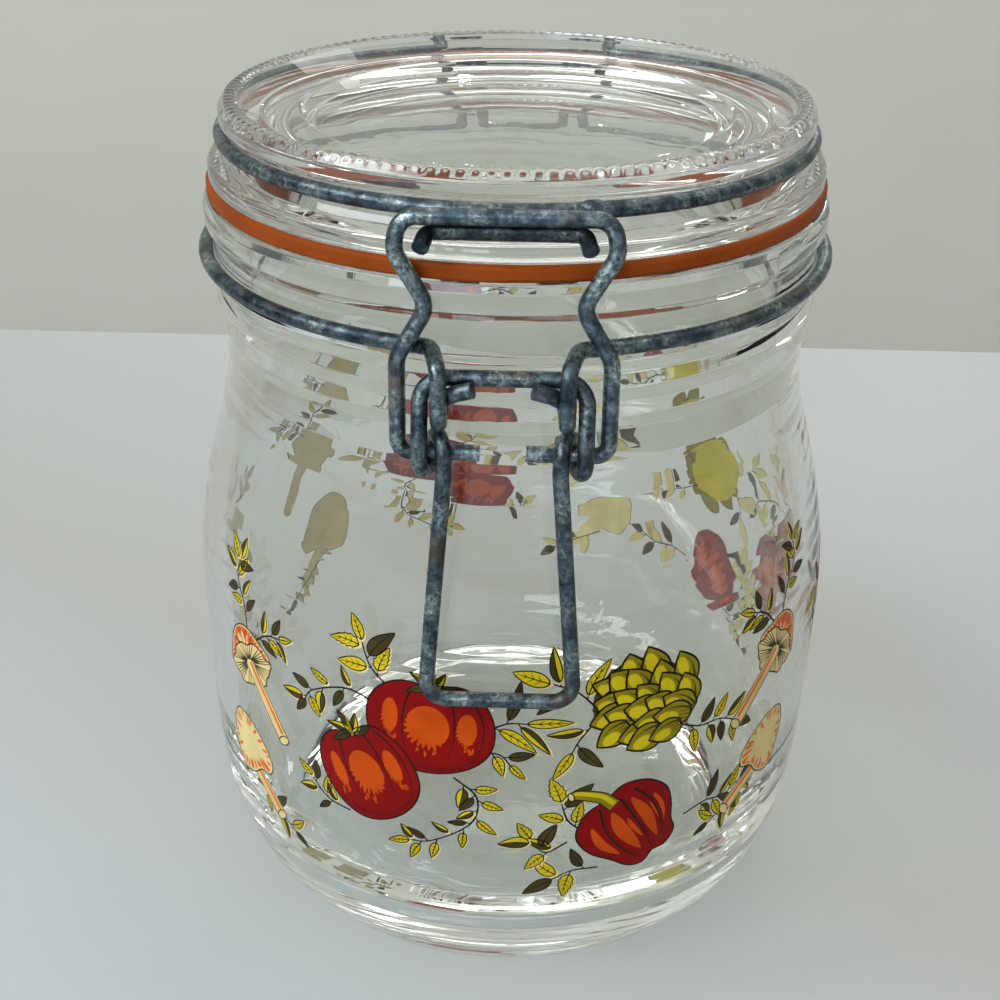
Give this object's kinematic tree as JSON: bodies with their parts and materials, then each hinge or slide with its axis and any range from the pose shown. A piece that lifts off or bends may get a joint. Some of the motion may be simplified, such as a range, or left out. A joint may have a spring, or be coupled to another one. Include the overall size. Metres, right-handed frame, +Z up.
{
  "type": "lidded glass canister",
  "caption": "Round bulging glass storage jar with a hinged glass lid, a rubber sealing ring and a wire clamp whose lever locks over centre.",
  "frame": {"origin": "on the jar's axis, at the level the jar stands on", "axes": "+Z up along the jar's axis; the latch faces -Y and the lid's hinge is at +Y"},
  "size_m": [0.1238, 0.129, 0.155],
  "materials": {
    "jar_glass": "clear pressed glass",
    "lid_glass": "clear pressed glass",
    "ring_rubber": "satin orange rubber",
    "wire": "aged galvanised wire, satin"
  },
  "bodies": {
    "jar": {"jar_body": "jar_glass", "neck_wire": "wire"},
    "closure": {"lid": "lid_glass", "sealing_ring": "ring_rubber", "lid_wire": "wire", "catch_bar": "wire"},
    "lever": {"lever": "wire"},
    "bail": {"clamp_bail": "wire"}
  },
  "joints": [
    {"name": "lid_hinge", "type": "hinge", "parent": "jar", "child": "closure", "pos_m": [0, 0.0605, 0.1385], "axis": [-1, 0, 0], "range_deg": [0, 105]},
    {"name": "lever_hinge", "type": "hinge", "parent": "jar", "child": "lever", "pos_m": [0, -0.0576, 0.1248], "axis": [-1, 0, 0], "range_deg": [0, 110]},
    {"name": "bail_hinge", "type": "hinge", "parent": "lever", "child": "bail", "pos_m": [0, -0.058, 0.1124], "axis": [-1, 0, 0], "range_deg": [-144, 0]}
  ],
  "couplings": [
    {"joint": "bail_hinge", "follows": "lever_hinge", "ratio": -1.3}
  ]
}
